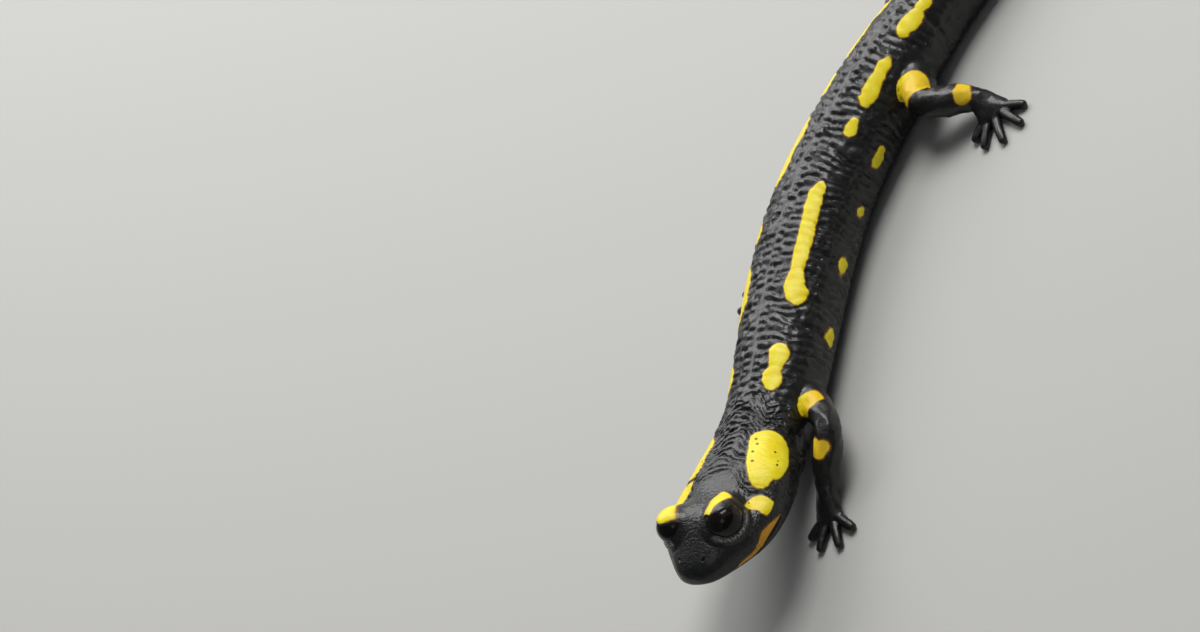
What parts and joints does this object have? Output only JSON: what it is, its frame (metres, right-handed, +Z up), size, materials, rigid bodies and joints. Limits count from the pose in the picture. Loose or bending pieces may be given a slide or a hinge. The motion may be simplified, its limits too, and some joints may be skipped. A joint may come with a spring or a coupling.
{
  "type": "fire salamander",
  "caption": "Life-size fire salamander in moist black skin with yellow patches, standing with its head raised, body bent to its left and tail on the ground.",
  "frame": {"origin": "on the ground, at the middle of the animal's bounding box", "axes": "+Z up from the ground; +Y from the head to the tail; +X to the animal's left"},
  "size_m": [0.0518, 0.187, 0.0226],
  "materials": {
    "skin": "moist near-black skin with a satin sheen, finely folded and grained, with sharp-edged yellow patches, darkening to orange along the lips",
    "eye": "wet, glossy, almost black eye"
  },
  "bodies": {
    "root": {"chest": "skin", "eye_L": "eye", "eye_R": "eye", "foot_L": "skin", "foot_R": "skin", "forearm_L": "skin", "forearm_R": "skin", "hand_L": "skin", "hand_R": "skin", "head": "skin", "hips": "skin", "lower_jaw": "skin", "neck": "skin", "shank_L": "skin", "shank_R": "skin", "tail_base": "skin", "tail_middle": "skin", "tail_tip": "skin", "thigh_L": "skin", "thigh_R": "skin", "trunk_front": "skin", "trunk_rear": "skin", "upper_arm_L": "skin", "upper_arm_R": "skin"}
  },
  "joints": []
}
